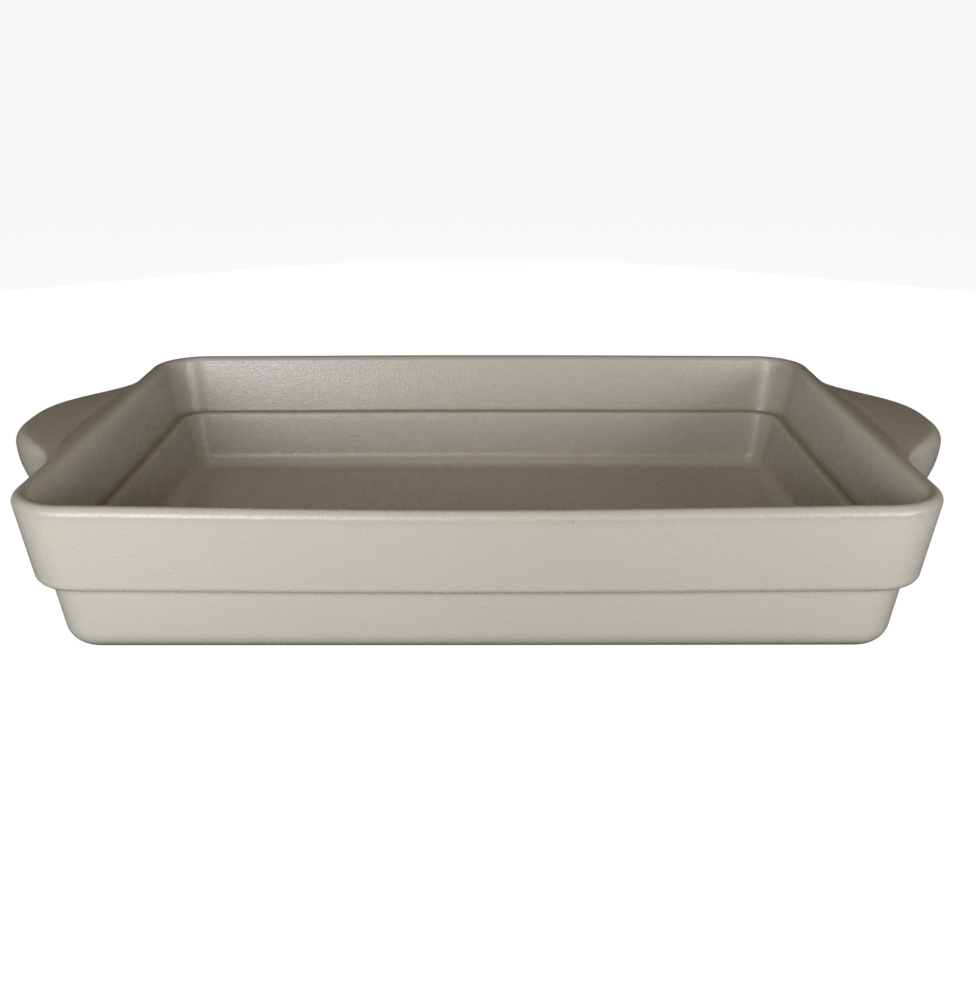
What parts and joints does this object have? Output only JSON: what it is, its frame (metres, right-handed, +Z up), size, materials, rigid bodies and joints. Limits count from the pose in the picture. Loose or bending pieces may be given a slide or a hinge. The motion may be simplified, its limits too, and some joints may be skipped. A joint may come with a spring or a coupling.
{
  "type": "baking dish",
  "caption": "Rectangular porcelain baking dish with stepped, flared walls, a rounded lip, an inner ledge, a coved floor and a wing handle at each short end.",
  "frame": {"origin": "on the surface that the dish stands on, under the middle of the floor", "axes": "+X along the dish towards the right handle, +Y across it away from the viewer, +Z up"},
  "size_m": [0.3906, 0.234, 0.062],
  "materials": {
    "glaze": "satin",
    "bare_foot": "matte"
  },
  "bodies": {
    "root": {"floor": "glaze", "foot_ring": "bare_foot", "lower_wall": "glaze", "upper_wall": "glaze", "rim": "glaze", "left_handle": "glaze", "right_handle": "glaze"}
  },
  "joints": []
}
